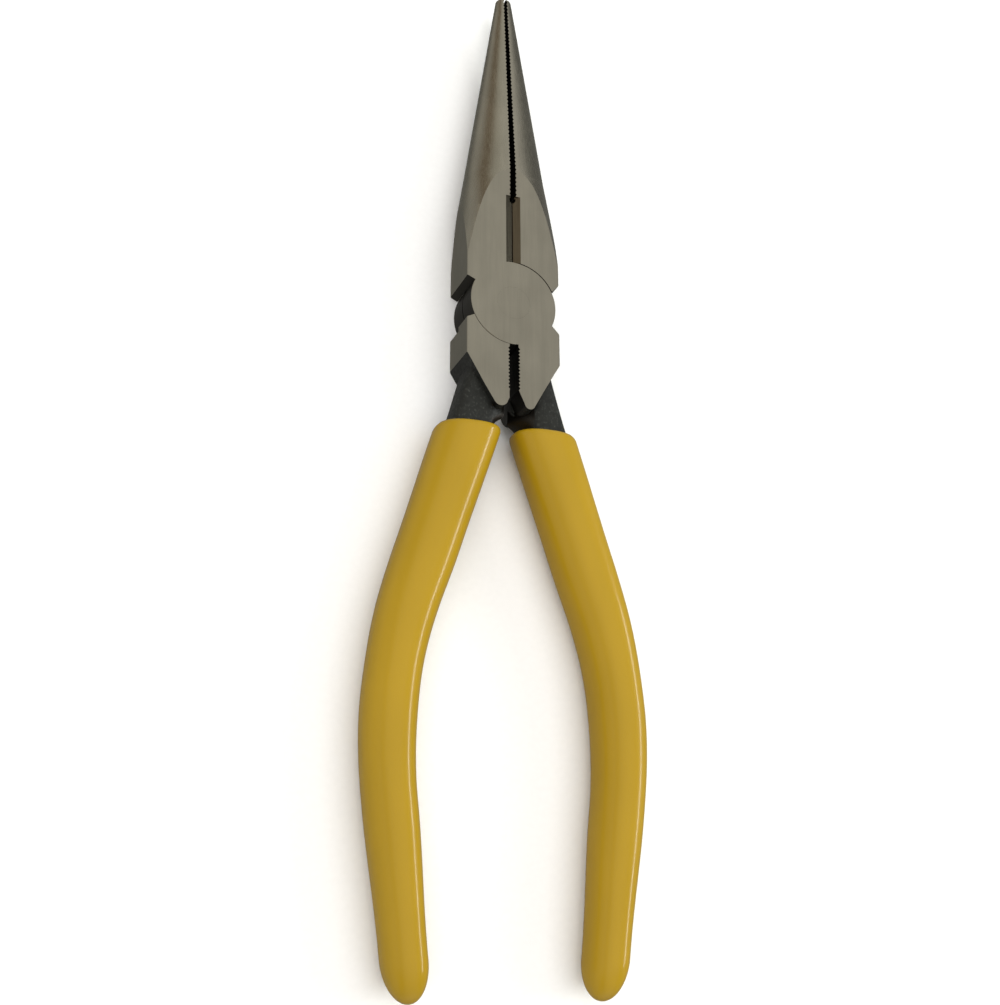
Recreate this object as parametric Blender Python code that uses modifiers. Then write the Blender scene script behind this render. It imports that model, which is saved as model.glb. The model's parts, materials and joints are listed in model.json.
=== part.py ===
"""Needle nose pliers, 200 mm long, closed and lying flat on a table.

+Y runs along the tool to the jaw tips, +X to the right and +Z up through the joint, with the
table at z = 0. Two forgings cross in a half-lap joint: the moving one is the fixed one turned
half a turn about Y, with a relief added to its jaw's shoulder. Each carries a jaw, a round boss
that fills half the thickness, a block behind the joint and a handle tang. A flush rivet holds
them together, and a vinyl sleeve covers each tang. Every shape is modelled around the pivot,
and two empties put it in place.
"""

import math

import bmesh
import bpy

MM = 0.001

# Driving dimensions
LENGTH = 200 * MM                       # jaw tips to sleeve ends
REACH = 73.3 * MM                       # pivot to jaw tips
HEAD_WIDTH = 18.9 * MM
HEAD_THICKNESS = 10.4 * MM
BOSS_RADIUS = 8.7 * MM
SHOULDER_ANGLE = math.radians(25)       # shoulders lie on radii this far from the X axis
SHOULDER_RELIEF = math.radians(47)      # slope of the shoulders' relieved halves
HEIGHT = 10.8 * MM                      # thickest part of the sleeves

# Clearances
RECESS_GAP = 0.25 * MM                  # around each boss
LAP_GAP = 0.3 * MM                      # between the two bosses' inner faces
RIVET_GAP = 0.05 * MM
SLEEVE_GAP = 0.3 * MM
BLADE_GAP = 0.1 * MM                    # from the mid-plane to each cutting edge

# Nose: each section is half an ellipse, and it grows with the distance from the tip
TIP_HALF_WIDTH = 1.6 * MM
TIP_HALF_THICKNESS = 1.4 * MM
WIDTH_TAPER = 0.154
THICKNESS_TAPER = 0.087
FLARE_START = 43.8 * MM                 # from here back the section thickens faster
FLARE_RATE = 0.16
FLARE_CURVE = -2.8                      # extra thickness per square of distance, 1/m
TIP_ROUND = 0.6 * MM

# Teeth and cutter
TIP_GAP = 0.12 * MM                     # from the mid-plane to the tooth crests
THROAT_GAP = 0.4 * MM
TOOTH_DEPTH = 0.3 * MM
TOOTH_PITCH = 0.95 * MM
SLOT_TOP = 23.4 * MM
SLOT_HALF_WIDTH = 1.5 * MM
SLOT_DEPTH = 0.65 * MM
NOTCH_RADIUS = 0.65 * MM

# Block behind the joint
REAR_GAP = 0.9 * MM                     # from the mid-plane to the tooth crests
REAR_TOOTH_DEPTH = 0.32 * MM
REAR_TOOTH_PITCH = 0.73 * MM
REAR_TEETH_START = -9.3 * MM
REAR_TEETH_END = -18.1 * MM
BLOCK_CORNER = -11.7 * MM               # lower end of the block's side faces
BLOCK_TAPER = ((7.8 * MM, -14.5 * MM), (5.9 * MM, -17.8 * MM))
# In front and behind: (end of the inner side, centre of the round tip, its radius)
FRONT_TIP = (-18.1 * MM, (3.15 * MM, -20.65 * MM), 1.05 * MM)
BACK_TIP = (-19.7 * MM, (2.7 * MM, -20.2 * MM), 1.45 * MM)

# Rivet
RIVET_RADIUS = 2.5 * MM
RIVET_HEAD_RADIUS = 3.3 * MM
RIVET_HEAD_DEPTH = 0.8 * MM

# Handles: a straight stretch, a bend and a straight stretch that turns back in
SPLAY = math.radians(17.7)
TOE_IN = math.radians(6.7)
BEND_RADIUS = 87 * MM
CORNER = (23.4 * MM, -75 * MM)          # where the two straight stretches would meet
TANG_START = -10.5 * MM
TANG_HALF_WIDTH = 4.3 * MM
TANG_SWELL = 0.35 * MM                  # the tang's outer side is fuller where it meets the block
TANG_HALF_THICKNESS = 3.8 * MM
TANG_END_THICKNESS = 3.0 * MM           # half thickness at the tang's end
TANG_END_MARGIN = 6 * MM                # from the tang's end to the sleeve's end
TANG_FRONT_RIDGE = 4.8 * MM             # x where the crotch's sloped side meets the tang's front
TANG_BACK_RIDGE = 3.2 * MM              # and its back
TANG_KNEE = -0.5                        # level of the innermost edge, from -1 (back) to 1 (front)
CROTCH_START = -21.8 * MM               # the tangs' inner sides step outwards from here
CROTCH_END = -24.4 * MM

# Sleeves: (distance from the mouth, half width, half thickness)
MOUTH = -25 * MM
SLEEVE_STATIONS = (
    (0 * MM, 6.35 * MM, 5.2 * MM),
    (24 * MM, 6.05 * MM, 5.35 * MM),
    (50 * MM, 5.05 * MM, 5.4 * MM),
    (70 * MM, 4.7 * MM, 5.2 * MM),
    (94 * MM, 3.95 * MM, 4.6 * MM),
)
SLEEVE_WALL = 1.4 * MM
SLEEVE_SQUARENESS = 2.5
SLEEVE_END_ROUND = 7 * MM
MOUTH_ROUND = 1.2 * MM

# Facets
ROUND_STEPS = 80
SECTION_POINTS = 24

# Derived dimensions
PIVOT_Y = LENGTH / 2 - REACH
SLEEVE_END = REACH - LENGTH
MID_Z = HEIGHT / 2
HALF_WIDTH = HEAD_WIDTH / 2
HALF_THICKNESS = HEAD_THICKNESS / 2
HALF_LAP = LAP_GAP / 2
RECESS_RADIUS = BOSS_RADIUS + RECESS_GAP
OVERSIZE = 2 * MM                       # how far rough shapes run past the planes that trim them

STEEL = (0.42, 0.40, 0.35, 1.0)
RIVET_STEEL = (0.45, 0.43, 0.38, 1.0)
VINYL = (0.80, 0.52, 0.03, 1.0)


def clear_scene():
    for item in list(bpy.data.objects):
        bpy.data.objects.remove(item, do_unlink=True)


def new_collection(name):
    collection = bpy.data.collections.new(name)
    bpy.context.scene.collection.children.link(collection)
    return collection


def principled(name, colour, roughness, metallic):
    material = bpy.data.materials.new(name)
    material.use_nodes = True
    shader = material.node_tree.nodes["Principled BSDF"]
    shader.inputs["Base Color"].default_value = colour
    shader.inputs["Roughness"].default_value = roughness
    shader.inputs["Metallic"].default_value = metallic
    return material


def add_object(name, mesh, collection):
    item = bpy.data.objects.new(name, mesh)
    collection.objects.link(item)
    return item


def add_tool(name, mesh):
    """An object that only trims or joins other shapes."""
    item = add_object(name, mesh, TOOLS)
    item.hide_render = True
    item.display_type = 'WIRE'
    return item


def mesh_from_bmesh(name, shape):
    bmesh.ops.recalc_face_normals(shape, faces=shape.faces)
    mesh = bpy.data.meshes.new(name)
    shape.to_mesh(mesh)
    shape.free()
    return mesh


def evaluated_mesh(item):
    """The object's mesh with its modifiers or curve settings applied."""
    depsgraph = bpy.context.evaluated_depsgraph_get()
    return bpy.data.meshes.new_from_object(item.evaluated_get(depsgraph))


def box_mesh(name, low, high):
    shape = bmesh.new()
    bmesh.ops.create_cube(shape, size=1.0)
    size = [h - l for l, h in zip(low, high)]
    centre = [(l + h) / 2 for l, h in zip(low, high)]
    bmesh.ops.scale(shape, vec=size, verts=shape.verts)
    bmesh.ops.translate(shape, vec=centre, verts=shape.verts)
    return mesh_from_bmesh(name, shape)


def cylinder_mesh(name, radius, low, high, centre=(0.0, 0.0)):
    shape = bmesh.new()
    bmesh.ops.create_cone(
        shape, cap_ends=True, segments=ROUND_STEPS, radius1=radius, radius2=radius, depth=high - low
    )
    bmesh.ops.translate(shape, vec=(centre[0], centre[1], (low + high) / 2), verts=shape.verts)
    return mesh_from_bmesh(name, shape)


def plate_mesh(name, outline, low, high):
    """A flat outline in X and Y, extruded from z = low to z = high."""
    curve = bpy.data.curves.new(name, 'CURVE')
    curve.dimensions = '2D'
    curve.fill_mode = 'BOTH'
    curve.extrude = (high - low) / 2
    spline = curve.splines.new('POLY')
    spline.points.add(len(outline) - 1)
    for point, (x, y) in zip(spline.points, outline):
        point.co = (x, y, 0.0, 1.0)
    spline.use_cyclic_u = True
    item = add_object(name, curve, TOOLS)
    mesh = evaluated_mesh(item)
    bpy.data.objects.remove(item)
    shape = bmesh.new()
    shape.from_mesh(mesh)
    bmesh.ops.remove_doubles(shape, verts=shape.verts, dist=0.000001)
    bmesh.ops.translate(shape, vec=(0.0, 0.0, (low + high) / 2), verts=shape.verts)
    return mesh_from_bmesh(name, shape)


def loft_faces(shape, rings):
    """Joins each ring of vertices to the next with quads."""
    for ring, following in zip(rings, rings[1:]):
        for k in range(len(ring)):
            after = (k + 1) % len(ring)
            shape.faces.new((ring[k], ring[after], following[after], following[k]))


def loft_mesh(name, sections):
    """A closed body through a list of sections, each a ring of as many points."""
    shape = bmesh.new()
    rings = [[shape.verts.new(point) for point in section] for section in sections]
    loft_faces(shape, rings)
    shape.faces.new(rings[0])
    shape.faces.new(rings[-1])
    return mesh_from_bmesh(name, shape)


def combine(item, operation, mesh):
    """Trims or joins an object with a mesh, and keeps the result as its own mesh."""
    tool = add_tool(mesh.name, mesh)
    modifier = item.modifiers.new(mesh.name, 'BOOLEAN')
    modifier.operation = operation
    modifier.solver = 'EXACT'
    modifier.object = tool
    bpy.context.view_layer.update()
    result = evaluated_mesh(item)
    item.modifiers.clear()
    item.data = result


def arc(centre, radius, start, end, steps):
    """Points on an arc from one angle to another, in radians."""
    turns = [start + (end - start) * k / steps for k in range(steps + 1)]
    return [(centre[0] + radius * math.cos(t), centre[1] + radius * math.sin(t)) for t in turns]


def smooth_step(value, start, end):
    """0 before start and 1 after end, with a soft change between them."""
    t = min(max((value - start) / (end - start), 0.0), 1.0)
    return t * t * (3 - 2 * t)


def rounded_section(x, y, half_width, half_thickness, squareness):
    """A ring across the tool at y: an ellipse at squareness 2, and squarer above that."""
    ring = []
    for k in range(SECTION_POINTS):
        turn = 2 * math.pi * k / SECTION_POINTS
        across = math.copysign(abs(math.cos(turn)) ** (2 / squareness), math.cos(turn))
        up = math.copysign(abs(math.sin(turn)) ** (2 / squareness), math.sin(turn))
        ring.append((x + half_width * across, y, half_thickness * up))
    return ring


# Handle line

def handle_x(y):
    """The handle's centre line: two straight stretches and the bend between them."""
    half_turn = (SPLAY + TOE_IN) / 2
    run = BEND_RADIUS * math.tan(half_turn)
    bend_top = CORNER[1] + run * math.cos(SPLAY)
    bend_bottom = CORNER[1] - run * math.cos(TOE_IN)
    if y >= bend_top:
        return CORNER[0] - (y - CORNER[1]) * math.tan(SPLAY)
    if y <= bend_bottom:
        return CORNER[0] - (CORNER[1] - y) * math.tan(TOE_IN)
    centre_x = CORNER[0] - run * math.sin(SPLAY) - BEND_RADIUS * math.cos(SPLAY)
    centre_y = bend_top - BEND_RADIUS * math.sin(SPLAY)
    return centre_x + math.sqrt(BEND_RADIUS ** 2 - (y - centre_y) ** 2)


def sleeve_size(y):
    """Half width and half thickness of the sleeve, before its ends are rounded."""
    distance = MOUTH - y
    first = SLEEVE_STATIONS[0]
    if distance <= first[0]:
        return first[1], first[2]
    for start, end in zip(SLEEVE_STATIONS, SLEEVE_STATIONS[1:]):
        if distance <= end[0]:
            t = smooth_step(distance, start[0], end[0])
            return start[1] + (end[1] - start[1]) * t, start[2] + (end[2] - start[2]) * t
    last = SLEEVE_STATIONS[-1]
    return last[1], last[2]


# Forging

def nose_section(y):
    """Half an ellipse on the left of the mid-plane."""
    distance = REACH - y
    flare = max(distance - FLARE_START, 0.0)
    half_width = TIP_HALF_WIDTH + WIDTH_TAPER * distance
    half_thickness = TIP_HALF_THICKNESS + THICKNESS_TAPER * distance
    half_thickness += FLARE_RATE * flare + FLARE_CURVE * flare ** 2
    if distance < TIP_ROUND:
        shrink = 0.3 * MM * (1 - distance / TIP_ROUND)
        half_width -= shrink
        half_thickness -= shrink
    ring = []
    for k in range(SECTION_POINTS + 1):
        turn = math.pi * (k / SECTION_POINTS - 0.5)
        ring.append((-half_width * math.cos(turn), y, half_thickness * math.sin(turn)))
    ring[0] = (0.0, y, -half_thickness)
    ring[-1] = (0.0, y, half_thickness)
    return ring


def nose_mesh():
    """From the tip back past the pivot; the shoulder and the head's flats trim it later."""
    stations = [REACH, REACH - TIP_ROUND]
    stations += [REACH - FLARE_START * k / 4 for k in range(1, 5)]
    flare_length = REACH - FLARE_START + OVERSIZE / 2
    stations += [REACH - FLARE_START - flare_length * k / 12 for k in range(1, 13)]
    return loft_mesh("nose", [nose_section(y) for y in stations])


def below_shoulder_outline():
    """Everything that lies behind the jaw's shoulder."""
    side = HALF_WIDTH + OVERSIZE
    return [
        (0.0, 0.0),
        (-side, side * math.tan(SHOULDER_ANGLE)),
        (-side, -OVERSIZE),
        (OVERSIZE, -OVERSIZE),
        (OVERSIZE, 0.0),
    ]


def block_outline(inner_end, tip, tip_radius):
    """The block behind the joint: shoulder, side, tapered lower edge and round tip."""
    side = HALF_WIDTH + OVERSIZE
    taper = 1.5
    return [
        (0.0, 0.0),
        (REAR_GAP, inner_end),
        *arc(tip, tip_radius, math.radians(190), math.radians(335), 8),
        *reversed(BLOCK_TAPER),
        (HALF_WIDTH, BLOCK_CORNER),
        (side, BLOCK_CORNER + OVERSIZE * taper),
        (side, -side * math.tan(SHOULDER_ANGLE)),
    ]


def shoulder_relief_outline(side):
    """The wedge that relieves half the thickness of the jaw's shoulder (side -1) or the block's."""
    inner = (RECESS_RADIUS * math.cos(SHOULDER_ANGLE), -RECESS_RADIUS * math.sin(SHOULDER_ANGLE))
    outer_x = HALF_WIDTH + OVERSIZE
    outer_y = inner[1] - (outer_x - inner[0]) * math.tan(SHOULDER_RELIEF)
    wedge = [inner, (outer_x, outer_y), (outer_x, inner[1] + OVERSIZE)]
    return [(side * x, side * y) for x, y in wedge]


def tang_section(y):
    """The tang's ring at y; between the block and the sleeve its inner side steps outwards."""
    centre = handle_x(y)
    sleeve_half_width, sleeve_half_thickness = sleeve_size(y)
    half_width = min(TANG_HALF_WIDTH, sleeve_half_width - SLEEVE_WALL - SLEEVE_GAP)
    outer = centre + half_width + TANG_SWELL * smooth_step(y, MOUTH, TANG_START)
    inner = centre - half_width
    step = smooth_step(y, CROTCH_END, CROTCH_START)
    inner += (REAR_GAP - 0.4 * MM - inner) * step
    along = smooth_step(y, MOUTH, SLEEVE_END)
    thickness = TANG_HALF_THICKNESS + (TANG_END_THICKNESS - TANG_HALF_THICKNESS) * along
    thickness = min(thickness, sleeve_half_thickness - SLEEVE_WALL - SLEEVE_GAP + 0.4 * MM)
    width = outer - inner
    ring = rounded_section((inner + outer) / 2, y, width / 2, thickness, 4.5)
    return [(outer - (outer - x) * (1 - lean_of(z / thickness, inner) / width), y, z) for x, _, z in ring]


def lean_of(level, inner):
    """How far the tang's inner side stands back at a level from -1 (the back) to 1 (the front)."""
    if level > TANG_KNEE:
        return max(TANG_FRONT_RIDGE - inner, 0.0) * (level - TANG_KNEE) / (1 - TANG_KNEE)
    return max(TANG_BACK_RIDGE - inner, 0.0) * (TANG_KNEE - level) / (1 + TANG_KNEE)


def tang_end():
    return SLEEVE_END + TANG_END_MARGIN


def tang_mesh():
    upper = [TANG_START, -14 * MM, -18 * MM, CROTCH_START]
    step = (CROTCH_START - CROTCH_END) / 5
    upper += [CROTCH_START - step * k for k in range(1, 6)]
    lower = sleeve_stations(CROTCH_END - 1 * MM, tang_end(), 14)
    return loft_mesh("tang", [tang_section(y) for y in upper + lower])


def saw_line(start, end, pitch, crest, root):
    """A tooth line from start to end; crest and root give x at a height y."""
    count = round(abs(end - start) / pitch)
    step = (end - start) / count
    line = [(crest(start), start)]
    for k in range(count):
        middle = start + step * (k + 0.5)
        after = start + step * (k + 1)
        line.append((root(middle), middle))
        line.append((crest(after), after))
    return line


def jaw_teeth_outline():
    """Everything to the right of the left jaw's tooth line and blade."""
    def crest(y):
        t = (REACH - y) / (REACH - SLOT_TOP)
        return -(TIP_GAP + (THROAT_GAP - TIP_GAP) * t)

    def root(y):
        return crest(y) - TOOTH_DEPTH

    teeth = saw_line(REACH - TOOTH_PITCH / 2, SLOT_TOP, TOOTH_PITCH, crest, root)
    beyond = REACH + OVERSIZE
    notch_bottom = SLOT_TOP - 2 * NOTCH_RADIUS
    blade = [(-BLADE_GAP, notch_bottom), (-BLADE_GAP, BOSS_RADIUS - OVERSIZE)]
    outer = [(OVERSIZE, BOSS_RADIUS - OVERSIZE), (OVERSIZE, beyond)]
    return [(crest(REACH), beyond)] + teeth + blade + outer


def rear_teeth_outline():
    """Everything to the left of the right block's tooth line."""
    line = saw_line(
        REAR_TEETH_START, REAR_TEETH_END, REAR_TOOTH_PITCH,
        lambda y: REAR_GAP, lambda y: REAR_GAP + REAR_TOOTH_DEPTH,
    )
    below = CROTCH_END - 1 * MM
    smooth_x = REAR_GAP + 0.1 * MM
    top = [(-OVERSIZE, REAR_TEETH_START + 2 * MM), (REAR_GAP, REAR_TEETH_START + 2 * MM)]
    bottom = [(smooth_x, REAR_TEETH_END - 0.4 * MM), (smooth_x, below), (-OVERSIZE, below)]
    return top + line + bottom


def slot_mesh(side):
    """The blade's bevel on the front (side 1) or the back (side -1) of the left jaw."""
    face = side * HALF_THICKNESS
    bottom = side * (HALF_THICKNESS - SLOT_DEPTH)
    above = side * (HALF_THICKNESS + OVERSIZE)
    ring = [(-SLOT_HALF_WIDTH, face), (0.0, bottom), (OVERSIZE, bottom), (OVERSIZE, above)]
    ring.append((-SLOT_HALF_WIDTH, above))
    ends = (BOSS_RADIUS - OVERSIZE, SLOT_TOP)
    return loft_mesh("slot", [[(x, y, z) for x, z in ring] for y in ends])


def rivet_profile(gap):
    """Half the rivet's section, from its top to its bottom along the outer side."""
    half = HALF_THICKNESS
    return [
        (0.0, half),
        (RIVET_HEAD_RADIUS + gap, half),
        (RIVET_RADIUS + gap, half - RIVET_HEAD_DEPTH),
        (RIVET_RADIUS + gap, RIVET_HEAD_DEPTH - half),
        (RIVET_HEAD_RADIUS + gap, -half),
        (0.0, -half),
    ]


def turned_mesh(name, profile):
    """A profile in X and Z, turned about Z."""
    mesh = bpy.data.meshes.new(name)
    edges = [(k, k + 1) for k in range(len(profile) - 1)]
    mesh.from_pydata([(x, 0.0, z) for x, z in profile], edges, [])
    item = add_object(name, mesh, TOOLS)
    screw = item.modifiers.new("turn", 'SCREW')
    screw.steps = ROUND_STEPS
    screw.render_steps = ROUND_STEPS
    screw.use_merge_vertices = True
    screw.merge_threshold = 0.00001
    result = evaluated_mesh(item)
    bpy.data.objects.remove(item)
    result.name = name
    return result


def rivet_hole_mesh():
    """The rivet's shape with its running gap, run out past both faces of the head."""
    profile = rivet_profile(RIVET_GAP)
    beyond = HALF_THICKNESS + OVERSIZE
    wide = RIVET_HEAD_RADIUS + RIVET_GAP
    profile[0] = (0.0, beyond)
    profile[-1] = (0.0, -beyond)
    profile.insert(1, (wide, beyond))
    profile.insert(-1, (wide, -beyond))
    return turned_mesh("rivet_hole", profile)


def rear_gap_cutter():
    """The toothed gap between the two blocks, clear of the boss."""
    past = HALF_THICKNESS + OVERSIZE
    cutter = add_tool("rear_gap", plate_mesh("rear_teeth", rear_teeth_outline(), -past, past))
    combine(cutter, 'DIFFERENCE', cylinder_mesh("boss_guard", BOSS_RADIUS, -past * 2, past * 2))
    return cutter.data


def forging_mesh(jaw_relieved):
    """The half whose jaw is on the left, whose boss is in front and whose tang is on the right."""
    past = HALF_THICKNESS + OVERSIZE
    item = add_tool("forging_stock", nose_mesh())
    combine(item, 'DIFFERENCE', plate_mesh("shoulder", below_shoulder_outline(), -past * 2, past * 2))
    combine(item, 'UNION', plate_mesh("block_front", block_outline(*FRONT_TIP), 0.0, past))
    combine(item, 'UNION', plate_mesh("block_back", block_outline(*BACK_TIP), -past, 0.0))
    combine(item, 'DIFFERENCE', cylinder_mesh("recess", RECESS_RADIUS, -past * 2, HALF_LAP))
    if jaw_relieved:
        combine(item, 'DIFFERENCE', plate_mesh("jaw_relief", shoulder_relief_outline(-1), -past, 0.0))
    combine(item, 'DIFFERENCE', plate_mesh("block_relief", shoulder_relief_outline(1), 0.0, past))
    combine(item, 'UNION', cylinder_mesh("boss", BOSS_RADIUS, HALF_LAP, past))
    low = (-HALF_WIDTH, SLEEVE_END, -HALF_THICKNESS)
    high = (HALF_WIDTH, REACH + OVERSIZE, HALF_THICKNESS)
    combine(item, 'INTERSECT', box_mesh("head_envelope", low, high))
    combine(item, 'UNION', tang_mesh())
    combine(item, 'DIFFERENCE', rear_gap_cutter())
    combine(item, 'DIFFERENCE', jaw_side_cutter())
    combine(item, 'DIFFERENCE', rivet_hole_mesh())
    return item.data


def jaw_side_cutter():
    """One cutter for the jaw's inner side: teeth, blade bevels and notch, clear of the boss."""
    past = HALF_THICKNESS + OVERSIZE
    cutter = add_tool("jaw_side", plate_mesh("jaw_teeth", jaw_teeth_outline(), -past, past))
    combine(cutter, 'UNION', slot_mesh(1))
    combine(cutter, 'UNION', slot_mesh(-1))
    notch_centre = (0.0, SLOT_TOP - NOTCH_RADIUS)
    combine(cutter, 'UNION', cylinder_mesh("notch", NOTCH_RADIUS, -past, past, notch_centre))
    combine(cutter, 'DIFFERENCE', cylinder_mesh("boss_guard", BOSS_RADIUS, -past * 2, past * 2))
    return cutter.data


# Sleeve

def sleeve_stations(top, bottom, count):
    return [top + (bottom - top) * k / count for k in range(count + 1)]


def sleeve_outer_ring(y):
    """The outer skin at y, drawn in at the mouth's rounded rim and at the closed end."""
    half_width, half_thickness = sleeve_size(y)
    rim = MOUTH - y
    if rim < MOUTH_ROUND:
        t = 1 - rim / MOUTH_ROUND
        inset = 0.6 * MOUTH_ROUND * (1 - math.sqrt(max(1 - t * t, 0.0)))
        half_width -= inset
        half_thickness -= inset
    end = y - SLEEVE_END
    if end < SLEEVE_END_ROUND:
        t = 1 - end / SLEEVE_END_ROUND
        scale = math.sqrt(max(1 - t * t, 0.0))
        half_width *= scale
        half_thickness *= scale
    return rounded_section(handle_x(y), y, half_width, half_thickness, SLEEVE_SQUARENESS)


def sleeve_inner_ring(y):
    """The socket at y: the tang's own section, larger by the gap."""
    ring = tang_section(y)
    low = min(x for x, _, _ in ring)
    high = max(x for x, _, _ in ring)
    thick = max(z for _, _, z in ring)
    half_width = (high - low) / 2 + SLEEVE_GAP
    return rounded_section((low + high) / 2, y, half_width, thick + SLEEVE_GAP, 4.5)


def sleeve_mesh():
    """A blind sleeve on the right tang: outer skin, rim and socket in one closed body."""
    rim = [MOUTH - MOUTH_ROUND * (1 - math.cos(math.radians(30 * k))) for k in range(4)]
    end_top = SLEEVE_END + SLEEVE_END_ROUND
    body = sleeve_stations(rim[-1], end_top, 20)[1:]
    turns = [math.radians(15 * k) for k in range(1, 6)]
    tip = [end_top - SLEEVE_END_ROUND * math.sin(turn) for turn in turns]
    tip.append(SLEEVE_END + 0.01 * MM)
    shape = bmesh.new()
    outer = [[shape.verts.new(p) for p in sleeve_outer_ring(y)] for y in rim + body + tip]
    socket = sleeve_stations(MOUTH, tang_end() - SLEEVE_GAP, 14)
    inner = [[shape.verts.new(p) for p in sleeve_inner_ring(y)] for y in socket]
    loft_faces(shape, outer)
    loft_faces(shape, inner)
    loft_faces(shape, [outer[0], inner[0]])
    shape.faces.new(outer[-1])
    shape.faces.new(inner[-1])
    return mesh_from_bmesh("sleeve", shape)


def pivot_empty(name, turn):
    empty = bpy.data.objects.new(name, None)
    PARTS.objects.link(empty)
    empty.location = (0.0, PIVOT_Y, MID_Z)
    empty.rotation_euler = (0.0, turn, 0.0)
    return empty


def place(name, mesh, material, parent):
    item = add_object(name, mesh, PARTS)
    item.parent = parent
    if not mesh.materials:
        mesh.materials.append(material)
    mesh.shade_smooth()
    mesh.set_sharp_from_angle(angle=math.radians(30))
    return item


clear_scene()
PARTS = new_collection("needle_nose_pliers")
TOOLS = new_collection("cutters")

steel = principled("ground_steel", STEEL, 0.38, 0.9)
rivet_steel = principled("rivet_steel", RIVET_STEEL, 0.35, 0.9)
vinyl = principled("yellow_vinyl", VINYL, 0.28, 0.0)

sleeve = sleeve_mesh()
rivet = turned_mesh("rivet", rivet_profile(0.0))

fixed_pivot = pivot_empty("fixed_pivot", 0.0)
moving_pivot = pivot_empty("moving_pivot", math.pi)
place("left_jaw_half", forging_mesh(False), steel, fixed_pivot)
place("right_handle_sleeve", sleeve, vinyl, fixed_pivot)
place("rivet_pin", rivet, rivet_steel, fixed_pivot)
place("right_jaw_half", forging_mesh(True), steel, moving_pivot)
place("left_handle_sleeve", sleeve, vinyl, moving_pivot)
bpy.context.view_layer.update()
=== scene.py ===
"""Needle nose pliers in their studio setting: finer pieces, materials, light and camera.

The two forgings, the two sleeves and the rivet are made again here with finer curves, broken
edges and procedural finishes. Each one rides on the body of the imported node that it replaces.
"""

import json
import math

import bmesh
import bpy
from mathutils import Euler, Matrix, Vector

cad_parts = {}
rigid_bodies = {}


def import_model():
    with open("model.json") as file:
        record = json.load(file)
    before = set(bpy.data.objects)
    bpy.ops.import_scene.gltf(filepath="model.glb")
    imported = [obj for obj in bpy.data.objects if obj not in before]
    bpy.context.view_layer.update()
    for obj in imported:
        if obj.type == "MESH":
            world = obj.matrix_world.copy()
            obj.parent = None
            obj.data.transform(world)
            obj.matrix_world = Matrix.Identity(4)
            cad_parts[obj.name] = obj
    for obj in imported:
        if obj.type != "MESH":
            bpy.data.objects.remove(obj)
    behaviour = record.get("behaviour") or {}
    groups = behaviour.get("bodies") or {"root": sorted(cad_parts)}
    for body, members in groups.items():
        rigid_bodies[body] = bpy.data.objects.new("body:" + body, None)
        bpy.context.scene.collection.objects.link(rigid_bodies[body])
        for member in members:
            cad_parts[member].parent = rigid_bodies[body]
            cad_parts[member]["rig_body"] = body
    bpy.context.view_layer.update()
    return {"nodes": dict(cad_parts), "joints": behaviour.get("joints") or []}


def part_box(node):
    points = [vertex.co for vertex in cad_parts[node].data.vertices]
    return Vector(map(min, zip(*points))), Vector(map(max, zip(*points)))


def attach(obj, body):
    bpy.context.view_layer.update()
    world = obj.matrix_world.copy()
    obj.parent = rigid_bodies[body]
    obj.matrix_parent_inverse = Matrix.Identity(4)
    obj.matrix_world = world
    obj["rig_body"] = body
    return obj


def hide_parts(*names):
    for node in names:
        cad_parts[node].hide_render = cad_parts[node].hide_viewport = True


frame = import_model()

MM = 0.001

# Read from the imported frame
PIVOT = Vector(frame["joints"][0]["pos_m"])
JAW_LOW, JAW_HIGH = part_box("left_jaw_half")
SLEEVE_LOW, SLEEVE_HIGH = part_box("right_handle_sleeve")
RIVET_LOW, RIVET_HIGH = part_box("rivet_pin")
REACH = JAW_HIGH.y - PIVOT.y
SLEEVE_END = SLEEVE_LOW.y - PIVOT.y
HALF_WIDTH = PIVOT.x - JAW_LOW.x
HALF_THICKNESS = (RIVET_HIGH.z - RIVET_LOW.z) / 2
RIVET_HEAD_RADIUS = (RIVET_HIGH.x - RIVET_LOW.x) / 2

# Joint
BOSS_RADIUS = 8.7 * MM
RECESS_RADIUS = BOSS_RADIUS + 0.12 * MM
HALF_LAP = 0.15 * MM
SHOULDER_ANGLE = math.radians(25)
SHOULDER_RELIEF = math.radians(47)
RIVET_RADIUS = 2.5 * MM
RIVET_HEAD_DEPTH = 0.8 * MM
RIVET_GAP = 0.05 * MM
RIVET_SEAM = 0.01 * MM                  # gap that shows around the rivet's flush head

# Nose
TIP_HALF_WIDTH = 1.6 * MM
TIP_HALF_THICKNESS = 1.4 * MM
WIDTH_TAPER = 0.154
THICKNESS_TAPER = 0.087
FLARE_START = 43.8 * MM
FLARE_RATE = 0.16
FLARE_CURVE = -2.8
TIP_ROUND = 0.6 * MM
TIP_SHRINK = 0.3 * MM                   # taken off each half size at the very tip

# Teeth and cutter
BLADE_GAP = 0.1 * MM
TIP_GAP = 0.2 * MM
THROAT_GAP = 0.48 * MM
TOOTH_DEPTH = 0.3 * MM
TOOTH_PITCH = 0.95 * MM
SLOT_TOP = 23.4 * MM
SLOT_HALF_WIDTH = 1.5 * MM
SLOT_DEPTH = 0.65 * MM
NOTCH_RADIUS = 0.65 * MM

# Block behind the joint
REAR_GAP = 0.9 * MM
REAR_TOOTH_DEPTH = 0.32 * MM
REAR_TOOTH_PITCH = 0.73 * MM
REAR_TEETH_START = -9.3 * MM
REAR_TEETH_END = -18.1 * MM
REAR_RUNOUT = 0.4 * MM                  # from the last rear tooth to the plain side behind it
REAR_RELIEF = 0.1 * MM                  # how far that side stands back from the tooth crests
BLOCK_CORNER = -11.7 * MM
BLOCK_TAPER = ((7.8 * MM, -14.5 * MM), (5.9 * MM, -17.8 * MM))
BLOCK_TIP_ARC = (math.radians(190), math.radians(335))
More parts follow.
